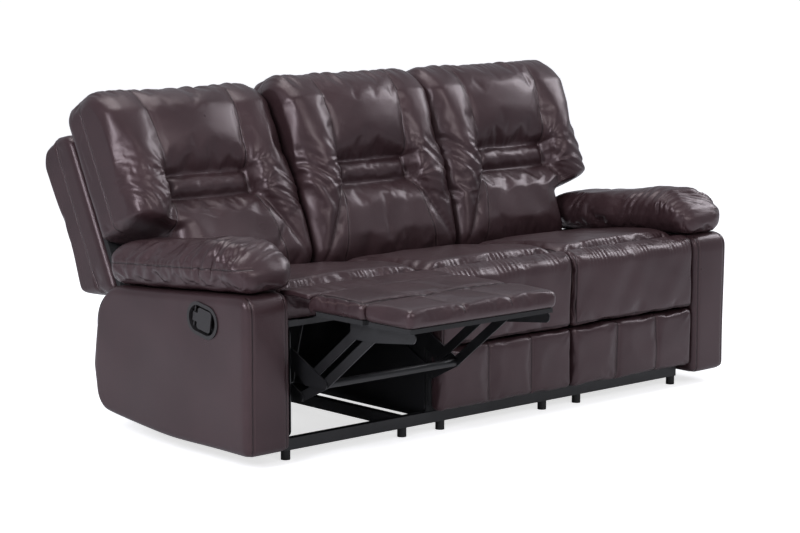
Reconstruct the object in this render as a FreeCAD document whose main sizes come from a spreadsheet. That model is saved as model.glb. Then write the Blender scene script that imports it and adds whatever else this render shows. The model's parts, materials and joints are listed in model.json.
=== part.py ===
"""Three-seat reclining sofa: two pull-lever recliners round a fixed middle seat.

Millimetres, +Z up. The front faces -Y and +X is on the right of someone who looks at the front.
The origin is on the floor under the middle of the whole sofa, as the photograph shows it:
the left footrest is out and the left back leans to match, the right seat is closed.

Side-view points are written (back, up): their first number is the place along Y.
"""
import FreeCAD
import Part
import math
import os
import re
import Sketcher
from types import SimpleNamespace
from FreeCAD import Placement, Rotation, Vector

SIZES = {
    # Outside of the sofa
    "overall_width": 1900,
    "arm_width": 153,
    "seat_front": 296,
    # Steel base
    "glide_height": 26,
    "glide_radius": 13,
    "rail_height": 32,
    "rail_depth": 24,
    "rail_wall": 2,
    "rail_front": 250,
    "rear_rail_back": 354,
    "side_rail_width": 25,
    "outer_rail_place": 769,
    "inner_rail_place": 350,
    "middle_rail_place": 205,
    "arm_lug_length": 60,
    "arm_lug_setback": 90,
    # Seats
    "seat_joint": 266.5,
    "soft_gap": 1.5,
    "frame_top": 372,
    "frame_bar": 40,
    "frame_thick": 16,
    "frame_rear": 250,
    "frame_front": 225,
    "deck_strap_width": 50,
    "deck_strap_thick": 2,
    "seat_cushion_rear": 160,
    "seat_crown_height": 466,
    "seat_rear_height": 436,
    # Front panels and footrest
    "panel_bottom": 65,
    "panel_split": 245,
    "panel_top": 452,
    "pad_thick": 39,
    "board_thick": 12,
    "board_margin": 10,
    "pad_crown": 10,
    "pad_seam_dip": 4,
    # Footrest linkage, seen from the side with the footrest in
    "pole_forward": 332.5,
    "pole_height": 497.5,
    "drive_forward": 135,
    "drive_height": 342,
    "knee_back": 120,
    "knee_drop": 243,
    "steady_back": 99,
    "steady_drop": 48,
    "control_rise": 72,
    "swing": 90,
    "link_reach": 13,
    "link_thick": 4,
    "layer_gap": 1,
    "plate_thick": 3,
    "plate_reach": 20,
    "pin_radius": 5,
    "pin_clearance": 0.1,
    "end_play": 0.3,
    "head_radius": 8,
    "head_thick": 2.5,
    "tube_radius": 11,
    "unit_centre": 511.5,
    "mech_half": 245,
    "bracket_reach": 16,
    # Backs, in their own upright frame about the recline hinge
    "hinge_back": 300,
    "hinge_height": 330,
    "upright_lean": 20,
    "tv_lean": 7,
    "hinge_reach": 16,
    "hinge_arm_thick": 4,
    "hinge_arm_offset": 40,
    "spacer_radius": 8,
    "timber_thick": 18,
    "rear_cross_height": 200,
    "back_board_front": 58,
    "back_board_thick": 17,
    "back_board_bottom": 104,
    "back_board_top": 560,
    "board_side_margin": 14,
    "shell_depth": 168,
    "shell_bottom": 100,
    "shell_top": 600,
    "shell_wall": 12,
    "shell_edge_bevel": 6,
    "shell_outer": 860,
    "shell_joint_gap": 8,
    "back_joint": 283,
    "back_outer": 885,
    "back_waist_outer": 752,
    "back_waist_height": 285,
    "lower_pad_depth": 158,
    # Arms
    "arm_front": 306,
    "arm_bottom": 35,
    "arm_front_top": 470,
    "arm_rear_top": 426,
    "arm_rear": 406,
    "arm_rear_radius": 120,
    "arm_toe_rise": 35,
    "arm_edge_bevel": 12,
    "arm_wall": 14,
    "arm_timber": 32,
    "fit_gap": 0.3,
    "arm_pad_front": 316,
    "arm_pad_rear": 328,
    "arm_pad_front_height": 600,
    "arm_pad_rear_height": 540,
    "arm_pad_inner": 762,
    "arm_pad_outer": 960,
    # Pull levers
    "lever_forward": 117,
    "lever_height": 384,
    "lever_tilt": 10,
    "bezel_length": 132,
    "bezel_width": 90,
    "bezel_proud": 3,
    "cup_depth": 24,
    "cup_wall": 2.5,
    "cup_radius": 38,
    "finger_gap": 24,
    "paddle_inset": 1,
    "paddle_length": 58,
    "paddle_width": 58,
    "paddle_thick": 5,
    "paddle_tab_width": 24,
    "lever_pin_radius": 2.5,
    "lever_barrel_radius": 6,
    "lever_pin_inset": 13,
    "lever_pin_clearance": 0.1,
}

doc = FreeCAD.newDocument("reclining_sofa")
sheet = doc.addObject("Spreadsheet::Sheet", "size")
for row, (name, number) in enumerate(SIZES.items(), 1):
    sheet.set(f"A{row}", name.replace("_", " "))
    sheet.set(f"B{row}", str(number))
    sheet.setAlias(f"B{row}", name)
doc.recompute()


v = SimpleNamespace(**{name: float(sheet.get(name)) for name in SIZES})
TURN_AXIS = Vector(1, 0, 0)
LEFT, RIGHT = -1, 1
parts = []


def cells(text):
    """An expression with its plain words turned into references to the sheet's cells."""
    return re.sub(r"[a-z][a-z_]+", lambda word: "size." + word.group(), text)


def bind(thing, **expressions):
    for name, text in expressions.items():
        thing.setExpression(name.replace("_of_", "."), cells(text))


def value(text):
    """The number that such an expression stands for."""
    return float(sheet.evalExpression(cells(text)))


def keep(thing, label):
    """Marks a finished sub-part, and names it."""
    thing.Label = label
    parts.append(thing)
    return thing


def mirrored(side, low, high):
    """A span across the sofa, written for the right-hand side, as (low, high) on either side."""
    return (low, high) if side == RIGHT else (f"-({high})", f"-({low})")


# Plain solids

def box(name, x, y, z):
    """A box whose low and high corners along each axis are expressions."""
    block = doc.addObject("Part::Box", name)
    bind(block, Length=f"({x[1]}) - ({x[0]})", Width=f"({y[1]}) - ({y[0]})", Height=f"({z[1]}) - ({z[0]})")
    bind(block, Placement_of_Base_of_x=x[0], Placement_of_Base_of_y=y[0], Placement_of_Base_of_z=z[0])
    return block


def square_tube(name, x, y, z, along):
    """A rectangular steel tube, open at both ends."""
    outside = box(name + "_outside", x, y, z)
    spans = {"x": x, "y": y, "z": z}
    bore = {}
    for axis, (low, high) in spans.items():
        inset = "-1" if axis == along else "rail_wall"
        bore[axis] = (f"{low} + {inset}", f"{high} - {inset}")
    inside = box(name + "_inside", bore["x"], bore["y"], bore["z"])
    tube = doc.addObject("Part::Cut", name)
    tube.Base = outside
    tube.Tool = inside
    return tube


def fused(name, shapes):
    union = doc.addObject("Part::MultiFuse", name)
    union.Shapes = shapes
    union.Refine = True
    return union


def group(name, shapes):
    """Several solids of one kind that share a node."""
    together = doc.addObject("Part::Compound", name)
    together.Links = shapes
    return together


def rod(name, radius, length, x, y, z):
    """A round rod along X from its low end."""
    bar = doc.addObject("Part::Cylinder", name)
    bar.Placement = Placement(Vector(), Rotation(Vector(0, 1, 0), 90))
    bind(bar, Radius=radius, Height=length)
    bind(bar, Placement_of_Base_of_x=x, Placement_of_Base_of_y=y, Placement_of_Base_of_z=z)
    return bar


# Flat plates seen from the side

def side_sketch(body, name, offset=0.0):
    """A sketch in the side view, whose own x runs to the sofa's rear and y runs up."""
    sketch = body.newObject("Sketcher::SketchObject", name)
    plane = [item for item in body.Origin.OriginFeatures if item.Role == "YZ_Plane"][0]
    sketch.AttachmentSupport = [(plane, "")]
    sketch.MapMode = "FlatFace"
    sketch.AttachmentOffset = Placement(Vector(0, 0, offset), Rotation())
    return sketch


def draw_plate(sketch, centres, reach):
    """Arcs about the centres, joined by tangent lines, with the radius bound to a size."""
    radius = value(reach)
    count = len(centres)
    points = [Vector(back, up, 0) for back, up in centres]
    swing = []
    for index in range(count):
        run = points[(index + 1) % count] - points[index]
        swing.append(math.atan2(-run.x, run.y))
    for index in range(count):
        start = swing[index - 1]
        end = swing[index]
        while end < start:
            end += 2 * math.pi
        circle = Part.Circle(points[index], Vector(0, 0, 1), radius)
        sketch.addGeometry(Part.ArcOfCircle(circle, start, end))
    for index in range(count):
        out = Vector(math.cos(swing[index]), math.sin(swing[index]), 0) * radius
        line = Part.LineSegment(points[index] + out, points[(index + 1) % count] + out)
        sketch.addGeometry(line)
    for index in range(count):
        sketch.addConstraint(Sketcher.Constraint("Tangent", index, 2, count + index, 1))
        sketch.addConstraint(Sketcher.Constraint("Tangent", count + index, 2, (index + 1) % count, 1))
        pin_point(sketch, index, centres[index])
    sketch.addConstraint(Sketcher.Constraint("Radius", 0, radius))
    sketch.setExpression(f"Constraints[{sketch.ConstraintCount - 1}]", cells(reach))
    for index in range(1, count):
        sketch.addConstraint(Sketcher.Constraint("Equal", 0, index))


def pin_point(sketch, item, centre):
    """Ties an arc's or a circle's centre to its place."""
    sketch.addConstraint(Sketcher.Constraint("DistanceX", -1, 1, item, 3, centre[0]))
    sketch.addConstraint(Sketcher.Constraint("DistanceY", -1, 1, item, 3, centre[1]))


def draw_circles(sketch, centres, radius):
    for centre in centres:
        item = sketch.addGeometry(Part.Circle(Vector(*centre, 0), Vector(0, 0, 1), radius))
        pin_point(sketch, item, centre)
        sketch.addConstraint(Sketcher.Constraint("Radius", item, radius))


def pad(body, sketch, length, down=False):
    feature = body.newObject("PartDesign::Pad", sketch.Name + "_pad")
    feature.Profile = sketch
    feature.Reversed = down
    bind(feature, Length=length)
    return feature


def plate(name, outlines, thick, holes=(), hole_radius=0.0, studs=(), inward=1):
    """A plate of one or more outlines with round holes, and studs that carry the next layer.

    Each stud is (centre, radius, reach past the plate); the last and widest is its head.
    """
    body = doc.addObject("PartDesign::Body", name)
    for number, (centres, reach) in enumerate(outlines):
        sketch = side_sketch(body, f"{name}_outline_{number}")
        draw_plate(sketch, centres, reach)
        pad(body, sketch, thick)
    if holes:
        sketch = side_sketch(body, name + "_holes")
        draw_circles(sketch, holes, hole_radius)
        cut = body.newObject("PartDesign::Pocket", name + "_drilling")
        cut.Profile = sketch
        cut.Type = "ThroughAll"
        cut.Reversed = True
    face = value(thick) if inward > 0 else 0.0
    for number, (centre, radius, start, reach) in enumerate(studs):
        sketch = side_sketch(body, f"{name}_stud_{number}", face + inward * start)
        draw_circles(sketch, [centre], radius)
        feature = body.newObject("PartDesign::Pad", f"{name}_stud_pad_{number}")
        feature.Profile = sketch
        feature.Length = reach
        feature.Reversed = inward < 0
    return body


# Rounded outlines and lofts for the upholstery

def rounded_profile(corners):
    """Edges of a closed outline: each corner is a point with the radius of its arc."""
    count = len(corners)
    tangents = []
    for index in range(count):
        before, here, after = corners[index - 1][0], corners[index][0], corners[(index + 1) % count][0]
        radius = corners[index][1]
        to_before = (before - here).normalize()
        to_after = (after - here).normalize()
        half = to_before.getAngle(to_after) / 2
        reach = radius / math.tan(half)
        middle = here + (to_before + to_after).normalize() * (radius / math.sin(half) - radius)
        tangents.append((here + to_before * reach, middle, here + to_after * reach))
    edges = []
    for index in range(count):
        start, middle, end = tangents[index]
        edges.append(Part.Arc(start, middle, end))
        edges.append(Part.LineSegment(end, tangents[(index + 1) % count][0]))
    return edges


def crowned_section(place, wide, high, corner, crowns):
    """A cushion's cross-section: four bowed sides joined by round corners.

    place maps (across, up) to a point; wide and high are (low, high) spans;
    crowns are how far the bottom, right, top and left sides bow outwards.
    """
    x0, x1 = wide
    y0, y1 = high
    turn = corner * (1 - math.sqrt(0.5))
    below, right, above, left = crowns
    sides = [
        ((x0 + corner, y0), ((x0 + x1) / 2, y0 - below), (x1 - corner, y0), (x1 - turn, y0 + turn)),
        ((x1, y0 + corner), (x1 + right, (y0 + y1) / 2), (x1, y1 - corner), (x1 - turn, y1 - turn)),
        ((x1 - corner, y1), ((x0 + x1) / 2, y1 + above), (x0 + corner, y1), (x0 + turn, y1 - turn)),
        ((x0, y1 - corner), (x0 - left, (y0 + y1) / 2), (x0, y0 + corner), (x0 + turn, y0 + turn)),
    ]
    edges = []
    for index, side in enumerate(sides):
        start, middle, end, bend = [place(*spot) for spot in side]
        bowed = middle.distanceToLine(start, end - start) > 1e-6
        curve = Part.Arc(start, middle, end) if bowed else Part.LineSegment(start, end)
        after = place(*sides[(index + 1) % 4][0])
        edges += [curve.toShape(), Part.LineSegment(end, bend).toShape(), Part.LineSegment(bend, after).toShape()]
    return Part.Wire(edges)


def loft(name, wires):
    form = doc.addObject("Part::Feature", name)
    form.Shape = Part.makeLoft(wires, True, True)
    return form


def turned(thing, angle, forward, height):
    """Turns a finished piece about a line across the sofa."""
    centre = Vector(0, -forward, height)
    thing.Placement = Placement(Vector(), Rotation(TURN_AXIS, angle), centre).multiply(thing.Placement)
    return thing


# Steel base

def base():
    front = ("-rail_front", "-rail_front + rail_depth")
    rear = ("rear_rail_back - rail_depth", "rear_rail_back")
    level = ("glide_height", "glide_height + rail_height")
    full = ("-outer_rail_place - side_rail_width / 2", "outer_rail_place + side_rail_width / 2")
    keep(square_tube("front_rail_tube", full, front, level, "x"), "front_rail")
    keep(square_tube("rear_rail_tube", full, rear, level, "x"), "rear_rail")
    between = (front[1], rear[0])
    rails = []
    glides = []
    for place in ("outer_rail_place", "inner_rail_place", "middle_rail_place"):
        for side in (LEFT, RIGHT):
            span = mirrored(side, f"{place} - side_rail_width / 2", f"{place} + side_rail_width / 2")
            name = f"{place}_{'left' if side == LEFT else 'right'}"
            tube = square_tube(name, span, between, level, "y")
            rails.append(with_arm_lugs(tube, side, level) if place == "outer_rail_place" else tube)
            for row, (low, high) in (("front", front), ("rear", rear)):
                glides.append(glide(f"{name}_{row}_glide", f"{side} * {place}", f"({low} + {high}) / 2"))
    keep(group("side_rail_set", rails), "side_rails")
    keep(group("glide_set", glides), "floor_glides")


def with_arm_lugs(tube, side, level):
    """The outer rails carry the arms on two welded lugs."""
    across = mirrored(side, "outer_rail_place + side_rail_width / 2", "overall_width / 2 - arm_width")
    lugs = []
    ends = (
        ("-rail_front + arm_lug_setback", "-rail_front + arm_lug_setback + arm_lug_length"),
        ("rear_rail_back - arm_lug_setback - arm_lug_length", "rear_rail_back - arm_lug_setback"),
    )
    for number, along in enumerate(ends):
        lugs.append(box(f"arm_lug_{side + 1}_{number}", across, along, level))
    return fused(f"outer_rail_with_lugs_{side + 1}", [tube, *lugs])


def glide(name, x, y):
    foot = doc.addObject("Part::Cylinder", name)
    bind(foot, Radius="glide_radius", Height="glide_height")
    bind(foot, Placement_of_Base_of_x=x, Placement_of_Base_of_y=y)
    return foot


# Seats

def seat_frame(unit, across):
    """A flat steel frame under the cushion, with straps across its opening."""
    level = ("frame_top - frame_thick", "frame_top")
    along = ("-frame_front", "frame_rear")
    low, high = across
    bars = [
        box(unit + "_front_bar", across, (along[0], along[0] + " + frame_bar"), level),
        box(unit + "_rear_bar", across, (along[1] + " - frame_bar", along[1]), level),
        box(unit + "_low_bar", (low, f"{low} + frame_bar"), along, level),
        box(unit + "_high_bar", (f"{high} - frame_bar", high), along, level),
    ]
    return fused(unit + "_frame_bars", bars), along


def straps(unit, across, along):
    webs = []
    count = 5
    low, high = across
    for number in range(count):
        middle = f"{low} + ({high} - ({low})) * {(number + 0.5) / count}"
        span = (f"{middle} - deck_strap_width / 2", f"{middle} + deck_strap_width / 2")
        webs.append(box(f"{unit}_strap_{number}", span, along, ("frame_top", "frame_top + deck_strap_thick")))
    return group(unit + "_strap_set", webs)


def seat_cushion(unit, low, high):
    """Crowned on top, drawn in at the sides, rolled at the front and lower at the back."""
    bottom = v.frame_top + v.deck_strap_thick + v.fit_gap
    front = -v.seat_front + v.pad_thick + v.board_thick + v.soft_gap
    rear = v.seat_cushion_rear
    depth = rear - front
    rise = v.seat_crown_height - bottom
    fall = v.seat_rear_height - bottom
    stations = (
        (0.0, 0.60 * rise, 9, 4),
        (0.05, 0.82 * rise, 3, 6),
        (0.16, 0.95 * rise, 0, 6),
        (0.34, rise, 0, 5),
        (0.66, 0.5 * (rise + fall), 0, 4),
        (0.93, 0.98 * fall, 2, 3),
        (1.0, 0.80 * fall, 8, 2),
    )
    wires = []
    for share, height, inset, crown in stations:
        y = front + share * depth
        corner = min(26, 0.4 * height)
        wires.append(crowned_section(
            lambda across, up: Vector(across, y, up),
            (low + inset, high - inset), (bottom, bottom + height - crown), corner, (0, 0, crown, 0)))
    return loft(unit + "_seat_loft", wires)


# Footrest and front panels, made closed and then swung out where the seat is open

def front_pad(unit, low, high, bottom, top, seams):
    """A stuffed panel on its board, crowned in front and drawn in at the ends and at its seams."""
    back = -v.seat_front + v.pad_thick
    width = high - low
    stations = [(0.0, 14, 9), (0.03, 5, 3), (0.1, 0, 0)]
    for seam in seams:
        stations += [(seam - 0.05, 0, 0), (seam, v.pad_seam_dip, 1), (seam + 0.05, 0, 0)]
    stations += [(0.9, 0, 0), (0.97, 5, 3), (1.0, 14, 9)]
    wires = []
    for share, dip, inset in stations:
        x = low + share * width
        face = back - v.pad_thick + dip
        crown = v.pad_crown * (1 - 0.5 * dip / 14)
        corner = min(13, 0.4 * (back - face - crown))
        wires.append(crowned_section(
            lambda along, up: Vector(x, along, up),
            (face + crown, back), (bottom + inset, top - inset), corner, (1, 0, 1, crown)))
    return loft(unit, wires)


def footrest(unit, low, high, angle):
    """Two padded boards on a pair of brackets."""
    split_low, split_high = v.panel_split - v.soft_gap, v.panel_split + v.soft_gap
    pieces = {
        "flap": (split_high, v.panel_top, ()),
        "footrest": (v.panel_bottom, split_low, (0.36, 0.68)),
    }
    made = []
    for kind, (bottom, top, seams) in pieces.items():
        cover = front_pad(f"{unit}_{kind}_loft", low, high, bottom, top, seams)
        board = doc.addObject("Part::Box", f"{unit}_{kind}_board_blank")
        board.Placement.Base = Vector(low + v.board_margin, pad_back(), bottom + v.board_margin)
        bind(board, Length=f"{high - low} - 2 * board_margin", Width="board_thick")
        bind(board, Height=f"{top - bottom} - 2 * board_margin")
        made.append((keep(board, f"{unit}_{kind}_board"), keep(cover, f"{unit}_{kind}_pad")))
    for pair in made:
        for piece in pair:
            turned(piece, angle, v.pole_forward, v.pole_height)


def pad_back():
    return -v.seat_front + v.pad_thick


# Footrest linkage

def add(first, second):
    return (first[0] + second[0], first[1] + second[1])


def less(first, second):
    return (first[0] - second[0], first[1] - second[1])


def swung(point, angle, centre):
    """A side-view point turned about another, positive from the rear towards up."""
    turn = math.radians(angle)
    back, up = less(point, centre)
    return add(centre, (back * math.cos(turn) - up * math.sin(turn),
                        back * math.sin(turn) + up * math.cos(turn)))


def anticlockwise(centres):
    area = sum(a[0] * b[1] - b[0] * a[1] for a, b in zip(centres, centres[1:] + centres[:1]))
    return centres if area > 0 else centres[::-1]


class Linkage:
    """Pivots with the footrest in, as (back, up).

    Every link pairs with an equal, parallel one, so the footrest swings about the pole,
    a point in the air above the front edge, and all the pivots stay in line on the way.
    """

    def __init__(self):
        self.drive = (-v.drive_forward, v.drive_height)
        self.pole = (-v.pole_forward, v.pole_height)
        self.reach = less(self.pole, self.drive)
        self.knee = add(self.drive, (v.knee_back, -v.knee_drop))
        self.steady_offset = (v.steady_back, -v.steady_drop)
        self.control_offset = (0.0, v.control_rise)
        self.steady = add(self.drive, self.steady_offset)
        self.heel = add(self.knee, self.steady_offset)
        self.toe = add(self.knee, self.reach)


def layer_low(side, where, start, thick):
    """Low X of a layer that starts this far inboard of a mechanism's outer face."""
    if where == "outer":
        near = f"unit_centre + mech_half - ({start}) - ({thick})"
        far = f"unit_centre + mech_half - ({start})"
    else:
        near = f"unit_centre - mech_half + ({start})"
        far = f"unit_centre - mech_half + ({start}) + ({thick})"
    return near if side == RIGHT else f"-({far})"


def place_plate(body, side, where, start, thick, pivot, angle=0.0):
    body.Placement = Placement(Vector(0, pivot[0], pivot[1]), Rotation(TURN_AXIS, angle))
    bind(body, Placement_of_Base_of_x=layer_low(side, where, start, thick))
    return body


def inboard(side, where):
    """+1 where the links stack towards +X from their side plate, -1 where towards -X."""
    return -side if where == "outer" else side


def stud(centre, hold):
    """A shoulder pin with its head, for the link that lies next to its plate."""
    shoulder = v.layer_gap + v.link_thick + v.end_play
    turned_pin = (centre, v.pin_radius, 0.0, shoulder)
    return [turned_pin, (centre, v.head_radius, shoulder, v.head_thick)] if hold else [turned_pin]


def hinge_stud(start):
    """A spacer up to the recline arm, the pin through it and the pin's head."""
    centre = (v.hinge_back, v.hinge_height)
    through = v.hinge_arm_thick + 2 * v.end_play
    return [(centre, v.spacer_radius, 0.0, start), (centre, v.pin_radius, start, through),
            (centre, v.head_radius, start + through, v.head_thick)]


def side_outline():
    """Corners of a side plate: it stands on the cross rails and carries the seat and the hinge."""
    foot = v.glide_height + v.rail_height + v.plate_reach
    deck = v.frame_top - v.frame_thick - v.plate_reach
    front = -v.rail_front + v.rail_depth + 2
    return [(front, foot), (v.rear_rail_back - v.plate_reach, foot), (v.hinge_back, v.hinge_height),
            (v.frame_rear - v.plate_reach, deck), (front, deck)]


def linkage(unit, side, angle):
    """The four-bar chains of one seat: a set near the arm and a set near the middle seat."""
    link = Linkage()
    bore = v.pin_radius + v.pin_clearance
    first = "plate_thick + layer_gap"
    second = "plate_thick + 2 * layer_gap + link_thick"
    sets = {"side_plates": [], "rear_links": [], "steady_links": [], "front_links": [],
            "control_links": [], "footrest_brackets": []}
    hinge_start = v.hinge_arm_offset - v.plate_thick - v.end_play
    knee, control = less(link.knee, link.drive), add(less(link.knee, link.drive), link.control_offset)
    board_edge = -v.seat_front + v.pad_thick + v.board_thick
    spine = board_edge + v.bracket_reach - link.toe[0]
    tip = -v.knee_drop + v.bracket_reach + 80
    knee_now = swung(link.knee, angle, link.drive)
    control_now = swung(add(link.knee, link.control_offset), angle, link.drive)
    for where in ("outer", "inner"):
        name = f"{unit}_{where}"
        inward = inboard(side, where)
        sheet_plate = plate(
            name + "_side_plate", [(side_outline(), "plate_reach")], "plate_thick",
            studs=stud(link.drive, True) + stud(link.steady, True) + hinge_stud(hinge_start), inward=inward)
        sets["side_plates"].append(place_plate(sheet_plate, side, where, "0", "plate_thick", (0.0, 0.0)))
        rear = plate(
            name + "_rear_link", [(anticlockwise([(0.0, 0.0), knee, control]), "link_reach")],
            "link_thick", holes=[(0.0, 0.0)], hole_radius=bore,
            studs=stud(knee, False) + stud(control, True), inward=inward)
        sets["rear_links"].append(place_plate(rear, side, where, first, "link_thick", link.drive, angle))
        steady = plate(
            name + "_steady_link", [([(0.0, 0.0), knee], "link_reach")], "link_thick",
            holes=[(0.0, 0.0)], hole_radius=bore, studs=stud(knee, True), inward=inward)
        sets["steady_links"].append(place_plate(steady, side, where, first, "link_thick", link.steady, angle))
        front = plate(
            name + "_front_link",
            [([(0.0, 0.0), link.reach], "link_reach"), ([(0.0, 0.0), link.steady_offset], "link_reach")],
            "link_thick", holes=[(0.0, 0.0), link.steady_offset, link.reach], hole_radius=bore, inward=inward)
        sets["front_links"].append(place_plate(front, side, where, second, "link_thick", knee_now))
        control_link = plate(
            name + "_control_link", [([(0.0, 0.0), link.reach], "link_reach")], "link_thick",
            holes=[(0.0, 0.0), link.reach], hole_radius=bore, inward=inward)
        sets["control_links"].append(place_plate(control_link, side, where, second, "link_thick", control_now))
        ends = [(spine, tip), (0.0, 0.0), link.control_offset, (spine, v.control_rise)]
        bracket = plate(
            name + "_footrest_bracket", [(anticlockwise(ends), "bracket_reach")], "link_thick",
            studs=stud((0.0, 0.0), True) + stud(link.control_offset, True), inward=inward)
        sets["footrest_brackets"].append(place_plate(
            bracket, side, where, first, "link_thick", add(knee_now, link.reach), angle))
    for label, pair in sets.items():
        keep(group(f"{unit}_{label}_pair", pair), f"{unit}_{label}")
    start = "plate_thick + 2 * layer_gap + 2 * link_thick + end_play"
    length = f"2 * (mech_half - ({start}))"
    middle = f"{side} * unit_centre"
    tube = rod(unit + "_tube", "tube_radius", length, f"{middle} - ({length}) / 2",
               str(knee_now[0]), str(knee_now[1]))
    keep(tube, unit + "_torque_tube")


# Backs

def back(unit, shell_span, cushion_span, waist_span, arms, lean):
    """Board, padded rear shell and stuffed cushion, made upright and leaned about the hinge."""
    y0, z0 = v.hinge_back, v.hinge_height
    board = box(
        unit + "_back_blank", (f"{shell_span[0]} + board_side_margin", f"{shell_span[1]} - board_side_margin"),
        ("hinge_back + back_board_front", "hinge_back + back_board_front + back_board_thick"),
        ("hinge_height + back_board_bottom", "hinge_height + back_board_top"))
    frame = fused(unit + "_back_board_arms", [board, *arms])
    shell = back_shell(unit, *shell_span)
    cushion = back_cushion(unit, cushion_span, waist_span)
    for piece, label in ((frame, "back_frame"), (shell, "back_shell"), (cushion, "back_cushion")):
        turned(keep(piece, f"{unit}_{label}"), -lean, -y0, z0)


def hinge_arm(name, low_x):
    """A cranked steel arm from the recline hinge up to the back board."""
    middle = v.back_board_front + v.back_board_thick / 2
    foot = [(0.0, 0.0), (middle, 0.0)]
    stem = [(middle, 0.0), (middle, v.back_board_bottom + 40)]
    body = plate(name, [(foot, "hinge_reach"), (stem, "back_board_thick / 2")], "hinge_arm_thick",
                 holes=[(0.0, 0.0)], hole_radius=v.pin_radius + v.pin_clearance)
    body.Placement.Base = Vector(0, v.hinge_back, v.hinge_height)
    bind(body, Placement_of_Base_of_x=low_x)
    return body


def back_shell(unit, low_text, high_text):
    """A padded tray with a round top that slopes to the front, closed by the back board."""
    low, high = value(low_text), value(high_text)
    y0, z0 = v.hinge_back, v.hinge_height
    front = y0 + v.back_board_front + v.back_board_thick + v.fit_gap
    deep = front + v.shell_depth
    corners = [
        (Vector(0, front, z0 + v.shell_bottom), 6), (Vector(0, deep - 20, z0 + v.shell_bottom + 38), 32),
        (Vector(0, deep, z0 + v.shell_top - 30), 62), (Vector(0, front + 70, z0 + v.shell_top + 14), 50),
        (Vector(0, front, z0 + v.shell_top - 34), 8),
    ]
    outline = Part.Wire([edge.toShape() for edge in rounded_profile(corners)])
    slab = Part.Face(outline).extrude(Vector(high - low, 0, 0))
    slab.translate(Vector(low, 0, 0))
    rims = [edge for edge in slab.Edges if edge.BoundBox.XLength < 1e-6]
    slab = slab.makeChamfer(v.shell_edge_bevel, rims)
    hollow = Part.makeBox(
        high - low - 2 * v.shell_wall, v.shell_depth - 40 - v.shell_wall, v.back_board_top - 160 - v.shell_wall,
        Vector(low + v.shell_wall, front, z0 + v.shell_bottom + 52))
    tray = doc.addObject("Part::Feature", unit + "_tray")
    tray.Shape = slab.cut(hollow)
    return tray


def back_cushion(unit, span, waist):
    """Two side bolsters round a headrest, a lumbar roll and a lower pad, parted by deep creases."""
    stations = (
        (30, 0.86, 0.70, 20, 30), (60, 1.0, 0.97, 3, 6), (150, 1.01, 1.0, 0, 0), (262, 1.05, 0.98, 0, 0),
        (290, 1.06, 0.86, 0, 0), (312, 1.08, 1.0, 0, 0), (342, 1.11, 1.0, 0, 0), (365, 1.12, 0.86, 0, 0),
        (396, 1.13, 1.04, 0, 0), (480, 1.14, 1.11, 0, 0), (575, 1.02, 1.02, 4, 0), (632, 0.80, 0.84, 16, 14),
        (655, 0.56, 0.60, 34, 50),
    )
    wires = []
    for up, bolster, middle, inset, rear_inset in stations:
        share = min(max((up - v.back_waist_height) / 50 + 0.5, 0), 1)
        low = waist[0] + (span[0] - waist[0]) * share + inset
        high = waist[1] + (span[1] - waist[1]) * share - inset
        wires.append(back_section(
            low, high, bolster * v.lower_pad_depth, middle * v.lower_pad_depth,
            v.back_board_front - v.fit_gap - rear_inset, v.hinge_height + up, span))
    return loft(unit + "_back_loft", wires)


def back_section(low, high, bolster, middle, rear, height, span):
    """Cross-section of a back cushion: a flat rear, round sides and three bowed panels in front."""
    centre, half = (span[0] + span[1]) / 2, (span[1] - span[0]) / 2
    seams = (max(centre - 0.46 * half, low + 60), min(centre + 0.46 * half, high - 60))
    y0 = v.hinge_back
    round_rear = 16
    turn = round_rear * (1 - math.sqrt(0.5))
    shoulder = -0.62 * bolster
    seam = -min(bolster, middle) * 0.93
    spots = [
        ((high - round_rear, rear), None), ((low + round_rear, rear), (low + turn, rear - turn, 3)),
        ((low, rear - round_rear), None), ((low, shoulder), ((low * 0.6 + seams[0] * 0.4), -bolster, 6)),
        ((seams[0], seam), ((seams[0] + seams[1]) / 2, -middle, 5)),
        ((seams[1], seam), ((high * 0.6 + seams[1] * 0.4), -bolster, 6)),
        ((high, shoulder), None), ((high, rear - round_rear), (high - turn, rear - turn, 3)),
    ]
    edges = []
    for index, (start, bow) in enumerate(spots):
        end = spots[(index + 1) % len(spots)][0]
        ends = [Vector(x, y0 + y, height) for x, y in (start, end)]
        if bow:
            arc = Part.Arc(ends[0], Vector(bow[0], y0 + bow[1], height), ends[1])
            ends = arc.discretize(Number=bow[2])
        edges += [Part.LineSegment(*pair).toShape() for pair in zip(ends, ends[1:])]
    return Part.Wire(edges)


# Arms

def arm_outline():
    """The arm panel from the side: a raked top, a large round rear corner and a lifted toe."""
    front, rear, bottom = -v.arm_front, v.arm_rear, v.arm_bottom
    corners = [
        (Vector(0, front, bottom), 24), (Vector(0, rear - 350, bottom), 300),
        (Vector(0, rear - 30, bottom + v.arm_toe_rise), 24), (Vector(0, rear, bottom + 195), 90),
        (Vector(0, rear, v.arm_rear_top - 6), v.arm_rear_radius), (Vector(0, front, v.arm_front_top), 26),
    ]
    return Part.Wire([edge.toShape() for edge in rounded_profile(corners)])


def slice_of(wire, inset, low, high):
    """The outline, drawn in by an inset, between two places across the sofa."""
    drawn = wire.makeOffset2D(-inset) if inset else wire
    solid = Part.Face(drawn).extrude(Vector(high - low, 0, 0))
    solid.translate(Vector(low, 0, 0))
    return solid


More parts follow.
